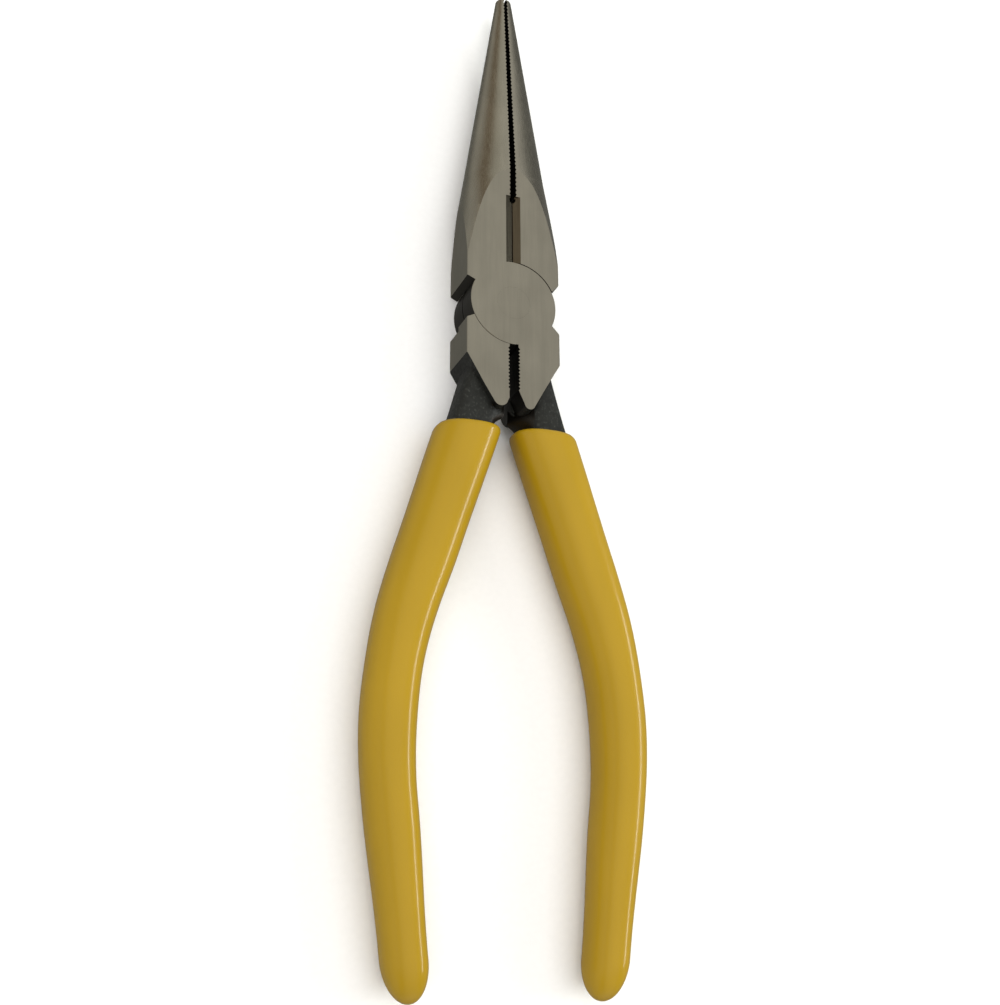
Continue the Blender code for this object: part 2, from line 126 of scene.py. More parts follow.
# In front and behind: (end of the inner side, centre of the round tip, its radius)
FRONT_TIP = (-18.1 * MM, (3.15 * MM, -20.65 * MM), 1.05 * MM)
BACK_TIP = (-19.7 * MM, (2.7 * MM, -20.2 * MM), 1.45 * MM)

# Handles
SPLAY = math.radians(17.7)
TOE_IN = math.radians(6.7)
BEND_RADIUS = 87 * MM
CORNER = (23.4 * MM, -75 * MM)
TANG_START = -10.5 * MM
TANG_HALF_WIDTH = 4.3 * MM
TANG_SWELL = 0.35 * MM
TANG_HALF_THICKNESS = 3.8 * MM
TANG_END_THICKNESS = 3.0 * MM
TANG_END_MARGIN = 6 * MM
TANG_OVERLAP = 0.4 * MM                 # past the rear gap's side, before the gap is cut
TANG_FRONT_RIDGE = 4.8 * MM             # x where the crotch's sloped side meets the tang's front
TANG_BACK_RIDGE = 3.2 * MM              # and its back
TANG_KNEE = -0.5                        # level of the innermost edge, from -1 (back) to 1 (front)
CROTCH_START = -21.8 * MM
CROTCH_END = -24.4 * MM
TANG_SQUARENESS = 4.5

# Sleeves: (distance from the mouth, half width, half thickness)
MOUTH = SLEEVE_HIGH.y - PIVOT.y
SLEEVE_STATIONS = (
    (0 * MM, 6.35 * MM, 5.2 * MM),
    (24 * MM, 5.97 * MM, 5.35 * MM),
    (50 * MM, 4.92 * MM, 5.4 * MM),
    (70 * MM, 4.6 * MM, 5.2 * MM),
    (94 * MM, 3.86 * MM, 4.6 * MM),
)
SLEEVE_WALL = 1.4 * MM
SLEEVE_GAP = 0.3 * MM
SLEEVE_THINNING = 0.4 * MM              # how much thinner the wall may be in front and behind
SLEEVE_SQUARENESS = 2.5
SLEEVE_END_ROUND = 7 * MM
SLEEVE_END_FLAT = 0.01 * MM
MOUTH_ROUND = 1.2 * MM
MOUTH_INSET = 0.6                       # how far the rim draws in, as a share of its round

# Fineness
ROUND_STEPS = 192
NOSE_POINTS = 56
TANG_POINTS = 56
SLEEVE_POINTS = 72
TIP_ARC_STEPS = 24
BREAK_STEPS = 40
OVERSIZE = 2 * MM
EDGE_BREAK = 0.16 * MM
GAP_BREAK = 0.12 * MM
OUTLINE_MERGE = 0.000001
MERGE = 0.000002
FORGING_SHARP = math.radians(32)
SLEEVE_SHARP = math.radians(40)
RIVET_SHARP = math.radians(30)

# Regions of a forging, in the order of its material slots; the blade's bevels and the faces of the
# joint, the teeth and the crotch carry painted shade, the broken edges a painted highlight
FLAT, SIDE, NOSE, BLADE, PAINTED_SHADE, SCALE, EDGE = range(7)
ON_FACE = 0.01 * MM                     # how near to a ground plane a face lies to belong to it
FLAT_NORMAL = 0.9999                    # least share of the normal along Z on a flat
SIDE_NORMAL = 0.999                     # and along X on a side
BREAK_NORMAL = (0.6, 0.8)               # range of its share along Z on a broken edge
CROTCH_NORMAL = 0.5                     # least share along X in the crotch
TOOTH_NORMAL = 0.2                      # and on the teeth
TOOTH_REACH = TOOTH_DEPTH * 1.1         # behind the crests
CROTCH_REACH = 3 * MM                   # how far into the sleeve the smooth crotch goes
SHOULDER_REACH = 1 * MM
RECESS_REACH = 0.1 * MM

# Studio
FLOOR_RADIUS = 2.4
FLOOR_RIM = 0.9
WHITE = (1.0, 1.0, 1.0)

# The dome from left to right: (position, colour); it fades to one colour below the horizon
DOME = (
    (0.0, (0.42, 0.41, 0.38)),
    (0.17, (0.43, 0.42, 0.39)),
    (0.24, (0.225, 0.18, 0.13)),
    (0.34, (0.225, 0.18, 0.13)),
    (0.41, (0.53, 0.515, 0.46)),
    (0.72, (0.60, 0.59, 0.56)),
    (0.84, (0.17, 0.17, 0.16)),
    (1.0, (0.12, 0.12, 0.12)),
)
DOME_BELOW = (0.18, 0.18, 0.17)
DOME_FADE = 0.5

# Lamps: (name, direction, distance, size, power, shows in reflections, tint)
LAMPS = (
    ("key", (0.92, 0.2, 0.36), 1.2, (0.8, 0.8), 9.2, False, (0.94, 1.0, 0.93)),
    ("left", (-0.85, -0.1, 0.5), 1.2, (1.0, 1.0), 4.5, False, WHITE),
    ("fill", (0.0, 0.0, 1.0), 1.5, (2.4, 2.4), 27.0, False, WHITE),
    ("strip", (0.88, 0.02, 0.42), 1.2, (0.8, 0.14), 3.6, True, WHITE),
)

# Camera; its place is given from the middle of the tool, at the height of the lap
CAMERA_PLACE = (-0.08445, -0.09128, 0.22327)
CAMERA_TURN = (18.39, -20.43, -0.18)
CAMERA_LENS = 48.18


# Basic meshes

def add_object(name, data):
    """A new object in the scene from a mesh, a curve, a lamp or a camera."""
    item = bpy.data.objects.new(name, data)
    bpy.context.scene.collection.objects.link(item)
    return item


def mesh_from_bmesh(name, shape):
    bmesh.ops.recalc_face_normals(shape, faces=shape.faces)
    mesh = bpy.data.meshes.new(name)
    shape.to_mesh(mesh)
    shape.free()
    return mesh


def evaluated_mesh(item):
    """The object's mesh with its modifiers or curve settings applied."""
    depsgraph = bpy.context.evaluated_depsgraph_get()
    return bpy.data.meshes.new_from_object(item.evaluated_get(depsgraph))


def take_mesh(item):
    """The object's own mesh, without the object."""
    mesh = item.data
    bpy.data.objects.remove(item)
    return mesh


def cylinder_mesh(name, radius, low, high, centre=(0.0, 0.0)):
    shape = bmesh.new()
    bmesh.ops.create_cone(
        shape, cap_ends=True, segments=ROUND_STEPS, radius1=radius, radius2=radius, depth=high - low
    )
    bmesh.ops.translate(shape, vec=(centre[0], centre[1], (low + high) / 2), verts=shape.verts)
    return mesh_from_bmesh(name, shape)


def plate_mesh(name, outline, low, high):
    """A flat outline in X and Y, extruded from z = low to z = high."""
    curve = bpy.data.curves.new(name, 'CURVE')
    curve.dimensions = '2D'
    curve.fill_mode = 'BOTH'
    curve.extrude = (high - low) / 2
    spline = curve.splines.new('POLY')
    spline.points.add(len(outline) - 1)
    for point, (x, y) in zip(spline.points, outline):
        point.co = (x, y, 0.0, 1.0)
    spline.use_cyclic_u = True
    item = add_object(name, curve)
    mesh = evaluated_mesh(item)
    bpy.data.objects.remove(item)
    shape = bmesh.new()
    shape.from_mesh(mesh)
    bmesh.ops.remove_doubles(shape, verts=shape.verts, dist=OUTLINE_MERGE)
    bmesh.ops.translate(shape, vec=(0.0, 0.0, (low + high) / 2), verts=shape.verts)
    return mesh_from_bmesh(name, shape)


def loft_faces(shape, rings):
    """Joins each ring of vertices to the next with quads."""
    for ring, following in zip(rings, rings[1:]):
        for k in range(len(ring)):
            after = (k + 1) % len(ring)
            shape.faces.new((ring[k], ring[after], following[after], following[k]))


def loft_mesh(name, sections):
    """A closed body through a list of sections, each a ring of as many points."""
    shape = bmesh.new()
    rings = [[shape.verts.new(point) for point in section] for section in sections]
    loft_faces(shape, rings)
    shape.faces.new(rings[0])
    shape.faces.new(rings[-1])
    return mesh_from_bmesh(name, shape)


def combine(item, operation, mesh):
    """Trims or joins an object with a mesh, and keeps the result as its own mesh."""
    tool = add_object(mesh.name, mesh)
    modifier = item.modifiers.new(mesh.name, 'BOOLEAN')
    modifier.operation = operation
    modifier.solver = 'EXACT'
    modifier.object = tool
    bpy.context.view_layer.update()
    result = evaluated_mesh(item)
    item.modifiers.clear()
    item.data = result
    bpy.data.objects.remove(tool)


def arc(centre, radius, start, end, steps):
    """Points on an arc from one angle to another, in radians."""
    turns = [start + (end - start) * k / steps for k in range(steps + 1)]
    return [(centre[0] + radius * math.cos(t), centre[1] + radius * math.sin(t)) for t in turns]


def spread(top, bottom, count):
    """Evenly spaced values from top to bottom, with both ends."""
    return [top + (bottom - top) * k / count for k in range(count + 1)]


def smooth_step(value, start, end):
    """0 before start and 1 after end, with a soft change between them."""
    t = min(max((value - start) / (end - start), 0.0), 1.0)
    return t * t * (3 - 2 * t)


def rounded_section(x, y, half_width, half_thickness, squareness, count):
    """A ring across the tool at y: an ellipse at squareness 2, and squarer above that."""
    ring = []
    for k in range(count):
        turn = 2 * math.pi * k / count
        across = math.copysign(abs(math.cos(turn)) ** (2 / squareness), math.cos(turn))
        up = math.copysign(abs(math.sin(turn)) ** (2 / squareness), math.sin(turn))
        ring.append((x + half_width * across, y, half_thickness * up))
    return ring


# Handle line

def handle_x(y):
    """The handle's centre line: two straight stretches and the bend between them."""
    run = BEND_RADIUS * math.tan((SPLAY + TOE_IN) / 2)
    bend_top = CORNER[1] + run * math.cos(SPLAY)
    bend_bottom = CORNER[1] - run * math.cos(TOE_IN)
    if y >= bend_top:
        return CORNER[0] - (y - CORNER[1]) * math.tan(SPLAY)
    if y <= bend_bottom:
        return CORNER[0] - (CORNER[1] - y) * math.tan(TOE_IN)
    centre_x = CORNER[0] - run * math.sin(SPLAY) - BEND_RADIUS * math.cos(SPLAY)
    centre_y = bend_top - BEND_RADIUS * math.sin(SPLAY)
    return centre_x + math.sqrt(BEND_RADIUS ** 2 - (y - centre_y) ** 2)


def sleeve_size(y):
    """Half width and half thickness of the sleeve, before its ends are rounded."""
    distance = MOUTH - y
    first = SLEEVE_STATIONS[0]
    if distance <= first[0]:
        return first[1], first[2]
    for start, end in zip(SLEEVE_STATIONS, SLEEVE_STATIONS[1:]):
        if distance <= end[0]:
            t = smooth_step(distance, start[0], end[0])
            return start[1] + (end[1] - start[1]) * t, start[2] + (end[2] - start[2]) * t
    last = SLEEVE_STATIONS[-1]
    return last[1], last[2]


# Forging

def nose_size(y):
    """Half width and half thickness of the nose before the head's flats trim it."""
    distance = REACH - y
    flare = max(distance - FLARE_START, 0.0)
    half_width = TIP_HALF_WIDTH + WIDTH_TAPER * distance
    half_thickness = TIP_HALF_THICKNESS + THICKNESS_TAPER * distance
    half_thickness += FLARE_RATE * flare + FLARE_CURVE * flare ** 2
    if distance < TIP_ROUND:
        t = 1 - distance / TIP_ROUND
        shrink = TIP_SHRINK * (1 - math.sqrt(max(1 - t * t, 0.0)))
        half_width -= shrink
        half_thickness -= shrink
    return half_width, half_thickness


def nose_section(y):
    """Half an ellipse on the left of the mid-plane."""
    half_width, half_thickness = nose_size(y)
    ring = []
    for k in range(NOSE_POINTS + 1):
        turn = math.pi * (k / NOSE_POINTS - 0.5)
        ring.append((-half_width * math.cos(turn), y, half_thickness * math.sin(turn)))
    ring[0] = (0.0, y, -half_thickness)
    ring[-1] = (0.0, y, half_thickness)
    return ring


def nose_mesh():
    """From the tip back past the pivot; the shoulder and the head's flats trim it later."""
    stations = [REACH - TIP_ROUND * k / 3 for k in range(3)]
    stations += spread(REACH - TIP_ROUND, REACH - FLARE_START, 12)
    stations += spread(REACH - FLARE_START, -OVERSIZE / 2, 30)[1:]
    return loft_mesh("nose", [nose_section(y) for y in stations])


def below_shoulder_outline():
    """Everything that lies behind the jaw's shoulder."""
    side = HALF_WIDTH + OVERSIZE
    return [
        (0.0, 0.0),
        (-side, side * math.tan(SHOULDER_ANGLE)),
        (-side, -OVERSIZE),
        (OVERSIZE, -OVERSIZE),
        (OVERSIZE, 0.0),
    ]


def block_outline(inner_end, tip, tip_radius):
    """The block behind the joint: shoulder, side, tapered lower edge and round tip."""
    side = HALF_WIDTH + OVERSIZE
    return [
        (0.0, 0.0),
        (REAR_GAP, inner_end),
        *arc(tip, tip_radius, *BLOCK_TIP_ARC, TIP_ARC_STEPS),
        *reversed(BLOCK_TAPER),
        (HALF_WIDTH, BLOCK_CORNER),
        (side, BLOCK_CORNER + OVERSIZE * 1.5),
        (side, -side * math.tan(SHOULDER_ANGLE)),
    ]


def shoulder_relief_outline(side):
    """The wedge that relieves half of the jaw's shoulder (side -1) or the block's (side 1)."""
    inner = (RECESS_RADIUS * math.cos(SHOULDER_ANGLE), -RECESS_RADIUS * math.sin(SHOULDER_ANGLE))
    outer_x = HALF_WIDTH + OVERSIZE
    outer_y = inner[1] - (outer_x - inner[0]) * math.tan(SHOULDER_RELIEF)
    wedge = [inner, (outer_x, outer_y), (outer_x, inner[1] + OVERSIZE)]
    return [(side * x, side * y) for x, y in wedge]


def tang_section(y):
    """The tang's ring at y; between the block and the sleeve its inner side steps outwards."""
    centre = handle_x(y)
    sleeve_half_width, sleeve_half_thickness = sleeve_size(y)
    half_width = min(TANG_HALF_WIDTH, sleeve_half_width - SLEEVE_WALL - SLEEVE_GAP)
    outer = centre + half_width + TANG_SWELL * smooth_step(y, MOUTH, TANG_START)
    inner = centre - half_width
    step = smooth_step(y, CROTCH_END, CROTCH_START)
    inner += (REAR_GAP - TANG_OVERLAP - inner) * step
    along = smooth_step(y, MOUTH, SLEEVE_END)
    thickness = TANG_HALF_THICKNESS + (TANG_END_THICKNESS - TANG_HALF_THICKNESS) * along
    thinnest = sleeve_half_thickness - SLEEVE_WALL - SLEEVE_GAP + SLEEVE_THINNING
    thickness = min(thickness, thinnest)
    width = outer - inner
    middle = (inner + outer) / 2
    section = []
    for x, _, z in rounded_section(middle, y, width / 2, thickness, TANG_SQUARENESS, TANG_POINTS):
        lean = lean_of(z / thickness, inner)
        section.append((outer - (outer - x) * (1 - lean / width), y, z))
    return section


def lean_of(level, inner):
    """How far the tang's inner side stands back at a level from -1 (the back) to 1 (the front)."""
    if level > TANG_KNEE:
        return max(TANG_FRONT_RIDGE - inner, 0.0) * (level - TANG_KNEE) / (1 - TANG_KNEE)
    return max(TANG_BACK_RIDGE - inner, 0.0) * (TANG_KNEE - level) / (1 + TANG_KNEE)


def tang_mesh():
    stations = spread(TANG_START, CROTCH_START, 14)
    stations += spread(CROTCH_START, CROTCH_END, 10)[1:]
    stations += spread(CROTCH_END, SLEEVE_END + TANG_END_MARGIN, 44)[1:]
    return loft_mesh("tang", [tang_section(y) for y in stations])


def saw_line(start, end, pitch, crest, root):
    """A tooth line from start to end; crest and root give x at a height y."""
    count = round(abs(end - start) / pitch)
    step = (end - start) / count
    line = [(crest(start), start)]
    for k in range(count):
        middle = start + step * (k + 0.5)
        after = start + step * (k + 1)
        line.append((root(middle), middle))
        line.append((crest(after), after))
    return line


def tooth_crest(y):
    """x of the left jaw's tooth crests; the two jaws stand further apart at the throat."""
    t = (REACH - y) / (REACH - SLOT_TOP)
    return -(TIP_GAP + (THROAT_GAP - TIP_GAP) * t)


def jaw_teeth_outline():
    """Everything to the right of the left jaw's tooth line and blade."""
    teeth = saw_line(
        REACH - TOOTH_PITCH / 2, SLOT_TOP, TOOTH_PITCH,
        tooth_crest, lambda y: tooth_crest(y) - TOOTH_DEPTH,
    )
    beyond = REACH + OVERSIZE
    notch_bottom = SLOT_TOP - 2 * NOTCH_RADIUS
    blade = [(-BLADE_GAP, notch_bottom), (-BLADE_GAP, BOSS_RADIUS - OVERSIZE)]
    outer = [(OVERSIZE, BOSS_RADIUS - OVERSIZE), (OVERSIZE, beyond)]
    return [(tooth_crest(REACH), beyond)] + teeth + blade + outer


def rear_teeth_outline():
    """Everything to the left of the right block's tooth line."""
    line = saw_line(
        REAR_TEETH_START, REAR_TEETH_END, REAR_TOOTH_PITCH,
        lambda y: REAR_GAP, lambda y: REAR_GAP + REAR_TOOTH_DEPTH,
    )
    above = REAR_TEETH_START + OVERSIZE
    below = CROTCH_END - OVERSIZE / 2
    plain_x = REAR_GAP + REAR_RELIEF
    top = [(-OVERSIZE, above), (REAR_GAP, above)]
    bottom = [(plain_x, REAR_TEETH_END - REAR_RUNOUT), (plain_x, below), (-OVERSIZE, below)]
    return top + line + bottom


def slot_mesh(side):
    """The blade's bevel on the front (side 1) or the back (side -1) of the left jaw."""
    face = side * HALF_THICKNESS
    bottom = side * (HALF_THICKNESS - SLOT_DEPTH)
    above = side * (HALF_THICKNESS + OVERSIZE)
    ring = [(-SLOT_HALF_WIDTH, face), (0.0, bottom), (OVERSIZE, bottom), (OVERSIZE, above)]
    ring.append((-SLOT_HALF_WIDTH, above))
    ends = (BOSS_RADIUS - OVERSIZE, SLOT_TOP)
    return loft_mesh("slot", [[(x, y, z) for x, z in ring] for y in ends])


def gap_break_mesh(side):
    """A wedge that breaks the edge between the teeth and the front or back of the left jaw."""
    sections = []
    for y in spread(REACH + OVERSIZE, SLOT_TOP - NOTCH_RADIUS, BREAK_STEPS):
        crest = tooth_crest(min(y, REACH))
        surface = min(nose_size(min(y, REACH))[1], HALF_THICKNESS)
        points = [
            (crest - GAP_BREAK, surface),
            (crest, surface - GAP_BREAK),
            (OVERSIZE, surface - GAP_BREAK),
            (OVERSIZE, surface + OVERSIZE),
            (crest - GAP_BREAK, surface + OVERSIZE),
        ]
        sections.append([(x, y, side * z) for x, z in points])
    return loft_mesh("gap_break", sections)


def envelope_mesh():
    """The head's limits, with the edges between its flats and its sides broken."""
    points = []
    for x, z in ((1, 1), (-1, 1), (-1, -1), (1, -1)):
        on_flat = (x * (HALF_WIDTH - EDGE_BREAK), z * HALF_THICKNESS)
        on_side = (x * HALF_WIDTH, z * (HALF_THICKNESS - EDGE_BREAK))
        points += [on_side, on_flat] if x == z else [on_flat, on_side]
    ends = (SLEEVE_END, REACH + OVERSIZE)
    return loft_mesh("head_envelope", [[(x, y, z) for x, z in points] for y in ends])


def boss_profile():
    """The boss in front of the lap, with its rim broken."""
    return [
        (0.0, HALF_THICKNESS),
        (BOSS_RADIUS - EDGE_BREAK / 2, HALF_THICKNESS),
        (BOSS_RADIUS, HALF_THICKNESS - EDGE_BREAK / 2),
        (BOSS_RADIUS, HALF_LAP),
        (0.0, HALF_LAP),
    ]


def rivet_profile(gap, overrun):
    """Half the rivet's section; overrun carries its ends past the faces of the head."""
    half = HALF_THICKNESS
    wide = RIVET_HEAD_RADIUS + gap
    narrow = RIVET_RADIUS + gap
    points = [(0.0, half + overrun), (wide, half + overrun)]
    if overrun:
        points.append((wide, half))
    points += [(narrow, half - RIVET_HEAD_DEPTH), (narrow, RIVET_HEAD_DEPTH - half)]
    if overrun:
        points.append((wide, -half))
    return points + [(wide, -half - overrun), (0.0, -half - overrun)]


def turned_mesh(name, profile):
    """A profile in X and Z, turned about Z."""
    mesh = bpy.data.meshes.new(name)
    edges = [(k, k + 1) for k in range(len(profile) - 1)]
    mesh.from_pydata([(x, 0.0, z) for x, z in profile], edges, [])
    item = add_object(name, mesh)
    screw = item.modifiers.new("turn", 'SCREW')
    screw.steps = ROUND_STEPS
    screw.render_steps = ROUND_STEPS
    screw.use_merge_vertices = True
    screw.merge_threshold = MERGE
    result = evaluated_mesh(item)
    bpy.data.objects.remove(item)
    result.name = name
    return result


def jaw_side_cutter():
    """One cutter for the jaw's inner side: teeth, blade bevels and notch, clear of the boss."""
    past = HALF_THICKNESS + OVERSIZE
    cutter = add_object("jaw_side", plate_mesh("jaw_teeth", jaw_teeth_outline(), -past, past))
    combine(cutter, 'UNION', slot_mesh(1))
    combine(cutter, 'UNION', slot_mesh(-1))
    notch_centre = (0.0, SLOT_TOP - NOTCH_RADIUS)
    combine(cutter, 'UNION', cylinder_mesh("notch", NOTCH_RADIUS, -past, past, notch_centre))
    combine(cutter, 'DIFFERENCE', cylinder_mesh("boss_guard", BOSS_RADIUS, -past * 2, past * 2))
    return take_mesh(cutter)


def rear_teeth_cutter():
    """The gap between the blocks, clear of the boss."""
    past = HALF_THICKNESS + OVERSIZE
    cutter = add_object("rear_gap", plate_mesh("rear_teeth", rear_teeth_outline(), -past, past))
    combine(cutter, 'DIFFERENCE', cylinder_mesh("boss_guard", BOSS_RADIUS, -past * 2, past * 2))
    return take_mesh(cutter)


def forging_mesh(jaw_relieved):
    """The half whose jaw is on the left, whose boss is in front and whose tang is on the right."""
    past = HALF_THICKNESS + OVERSIZE
    item = add_object("forging_stock", nose_mesh())
    shoulder = plate_mesh("shoulder", below_shoulder_outline(), -past * 2, past * 2)
    combine(item, 'DIFFERENCE', shoulder)
    combine(item, 'UNION', plate_mesh("block_front", block_outline(*FRONT_TIP), 0.0, past))
    combine(item, 'UNION', plate_mesh("block_back", block_outline(*BACK_TIP), -past, 0.0))
    combine(item, 'DIFFERENCE', cylinder_mesh("recess", RECESS_RADIUS, -past * 2, HALF_LAP))
    if jaw_relieved:
        relief = plate_mesh("jaw_relief", shoulder_relief_outline(-1), -past, 0.0)
        combine(item, 'DIFFERENCE', relief)
    combine(item, 'DIFFERENCE', plate_mesh("block_relief", shoulder_relief_outline(1), 0.0, past))
    combine(item, 'INTERSECT', envelope_mesh())
    combine(item, 'UNION', turned_mesh("boss", boss_profile()))
    combine(item, 'UNION', tang_mesh())
    combine(item, 'DIFFERENCE', rear_teeth_cutter())
    combine(item, 'DIFFERENCE', jaw_side_cutter())
    combine(item, 'DIFFERENCE', gap_break_mesh(1))
    combine(item, 'DIFFERENCE', gap_break_mesh(-1))
    combine(item, 'DIFFERENCE', turned_mesh("rivet_hole", rivet_profile(RIVET_GAP, OVERSIZE)))
    return take_mesh(item)


def region_of(face):
    """Which finish a face of the forging has."""
    centre = face.calc_center_median()
    normal = face.normal
    depth = HALF_THICKNESS - abs(centre.z)
    if abs(normal.z) > FLAT_NORMAL and depth < ON_FACE:
        return FLAT
    if abs(normal.x) > SIDE_NORMAL and abs(centre.x) > HALF_WIDTH - ON_FACE:
        return SIDE
    steep, shallow = BREAK_NORMAL
    if depth < EDGE_BREAK and steep < abs(normal.z) < shallow and centre.y < SLOT_TOP:
        return EDGE
    # The joint's recess and shoulders, the tooth flanks and the crotch walls get painted shade
    if centre.y < REAR_TEETH_START:
        in_crotch = centre.y > MOUTH - CROTCH_REACH and centre.x < TANG_FRONT_RIDGE
        return PAINTED_SHADE if in_crotch and abs(normal.x) > CROTCH_NORMAL else SCALE
    if abs(centre.x) < SLOT_HALF_WIDTH and BOSS_RADIUS - OVERSIZE < centre.y < SLOT_TOP:
        return BLADE
    shoulder_top = HALF_WIDTH * math.tan(SHOULDER_ANGLE) + SHOULDER_REACH
    near_recess = math.hypot(centre.x, centre.y) < RECESS_RADIUS + RECESS_REACH
    if centre.y < shoulder_top or near_recess:
        return PAINTED_SHADE
    if normal.x > TOOTH_NORMAL and centre.x > tooth_crest(centre.y) - TOOTH_REACH:
        return PAINTED_SHADE
    return NOSE


def finish_forging(mesh):
    """Gives each face its finish; only the nose, the faces with painted shade and the scale are
    shaded smooth.
    """
    shape = bmesh.new()
    shape.from_mesh(mesh)
    bmesh.ops.remove_doubles(shape, verts=shape.verts, dist=MERGE)
    bmesh.ops.dissolve_degenerate(shape, edges=shape.edges, dist=MERGE)
    shape.normal_update()
    for face in shape.faces:
        face.material_index = region_of(face)
    shape.to_mesh(mesh)
    shape.free()
    mesh.set_sharp_from_angle(angle=FORGING_SHARP)
    for face in mesh.polygons:
        face.use_smooth = face.material_index in (NOSE, SCALE, PAINTED_SHADE)
    return mesh


# Sleeve

def sleeve_outer_ring(y):
    """The outer skin at y, drawn in at the mouth's rounded rim and at the closed end."""
    half_width, half_thickness = sleeve_size(y)
    rim = MOUTH - y
    if rim < MOUTH_ROUND:
        t = 1 - rim / MOUTH_ROUND
        inset = MOUTH_INSET * MOUTH_ROUND * (1 - math.sqrt(max(1 - t * t, 0.0)))
        half_width -= inset
        half_thickness -= inset
    end = y - SLEEVE_END
    if end < SLEEVE_END_ROUND:
        t = 1 - end / SLEEVE_END_ROUND
        scale = math.sqrt(max(1 - t * t, 0.0))
        half_width *= scale
        half_thickness *= scale
    middle = handle_x(y)
    return rounded_section(middle, y, half_width, half_thickness, SLEEVE_SQUARENESS, SLEEVE_POINTS)


def sleeve_inner_ring(y):
    """The socket at y: the tang's own section, larger by the gap."""
    ring = tang_section(y)
    low = min(x for x, _, _ in ring)
    high = max(x for x, _, _ in ring)
    thick = max(z for _, _, z in ring) + SLEEVE_GAP
    half_width = (high - low) / 2 + SLEEVE_GAP
    middle = (low + high) / 2
    return rounded_section(middle, y, half_width, thick, TANG_SQUARENESS, SLEEVE_POINTS)


def sleeve_mesh():
    """A blind sleeve on the right tang: outer skin, rim and socket in one closed body."""
    rim = [MOUTH - MOUTH_ROUND * (1 - math.cos(math.radians(15 * k))) for k in range(7)]
    end_top = SLEEVE_END + SLEEVE_END_ROUND
    body = spread(rim[-1], end_top, 72)[1:]
    tip = [end_top - SLEEVE_END_ROUND * math.sin(math.radians(6 * k)) for k in range(1, 15)]
    tip.append(SLEEVE_END + SLEEVE_END_FLAT)
    shape = bmesh.new()
    outer = [[shape.verts.new(p) for p in sleeve_outer_ring(y)] for y in rim + body + tip]
    socket = spread(MOUTH, SLEEVE_END + TANG_END_MARGIN - SLEEVE_GAP, 40)
    inner = [[shape.verts.new(p) for p in sleeve_inner_ring(y)] for y in socket]
    loft_faces(shape, outer)
    loft_faces(shape, inner)
    loft_faces(shape, [outer[0], inner[0]])
    shape.faces.new(outer[-1])
    shape.faces.new(inner[-1])
    mesh = mesh_from_bmesh("sleeve", shape)
    mesh.shade_smooth()
    mesh.set_sharp_from_angle(angle=SLEEVE_SHARP)
    return mesh


# Materials

def set_stops(ramp, stops):
    """Gives a colour ramp node its stops, each (position, colour)."""
    elements = ramp.color_ramp.elements
    while len(elements) < len(stops):
        elements.new(0.5)
    for element, (position, colour) in zip(elements, stops):
        element.position = position
        element.color = (*colour, 1.0)


class Finish:
    """A Principled material whose colour, roughness and bump come from noise in object space."""

    def __init__(self, name, roughness, metallic):
        self.material = bpy.data.materials.new(name)
        self.material.use_nodes = True
        self.nodes = self.material.node_tree.nodes
        self.links = self.material.node_tree.links
        self.shader = self.nodes["Principled BSDF"]
        self.shader.inputs["Roughness"].default_value = roughness
        self.shader.inputs["Metallic"].default_value = metallic
        self.coordinate = self.nodes.new("ShaderNodeTexCoord").outputs["Object"]
        self.bump_normal = None

    def noise(self, scale, detail=3.0, offset=(0.0, 0.0, 0.0)):
        """Noise with its own scale along X, Y and Z, in features per metre."""
        mapping = self.nodes.new("ShaderNodeMapping")
        mapping.inputs["Scale"].default_value = scale
        mapping.inputs["Location"].default_value = offset
        texture = self.nodes.new("ShaderNodeTexNoise")
        texture.inputs["Scale"].default_value = 1.0
        texture.inputs["Detail"].default_value = detail
        self.links.new(self.coordinate, mapping.inputs["Vector"])
        self.links.new(mapping.outputs["Vector"], texture.inputs["Vector"])
        return texture.outputs["Fac"]

    def ramp(self, source, stops):
        """A colour ramp on a noise output."""
        node = self.nodes.new("ShaderNodeValToRGB")
        set_stops(node, stops)
        self.links.new(source, node.inputs["Fac"])
        return node.outputs["Color"]

    def mix(self, first, second, blend, factor):
        node = self.nodes.new("ShaderNodeMix")
        node.data_type = 'RGBA'
        node.blend_type = blend
        node.inputs["Factor"].default_value = factor
        self.links.new(first, node.inputs["A"])
        self.links.new(second, node.inputs["B"])
        return node.outputs["Result"]

    def colour(self, source):
        self.links.new(source, self.shader.inputs["Base Color"])

    def roughness(self, source, low, high):
        node = self.nodes.new("ShaderNodeMapRange")
        node.inputs["From Min"].default_value = 0.3
        node.inputs["From Max"].default_value = 0.7
        node.inputs["To Min"].default_value = low
        node.inputs["To Max"].default_value = high
        self.links.new(source, node.inputs["Value"])
        self.links.new(node.outputs["Result"], self.shader.inputs["Roughness"])

    def bump(self, source, height, strength=1.0):
        """Adds relief of the given height, on top of any relief already there."""
        node = self.nodes.new("ShaderNodeBump")
        node.inputs["Distance"].default_value = height
        node.inputs["Strength"].default_value = strength
        self.links.new(source, node.inputs["Height"])
        if self.bump_normal:
            self.links.new(self.bump_normal, node.inputs["Normal"])
        self.bump_normal = node.outputs["Normal"]
        self.links.new(self.bump_normal, self.shader.inputs["Normal"])


def shade(colour, factor):
    return tuple(channel * factor for channel in colour)


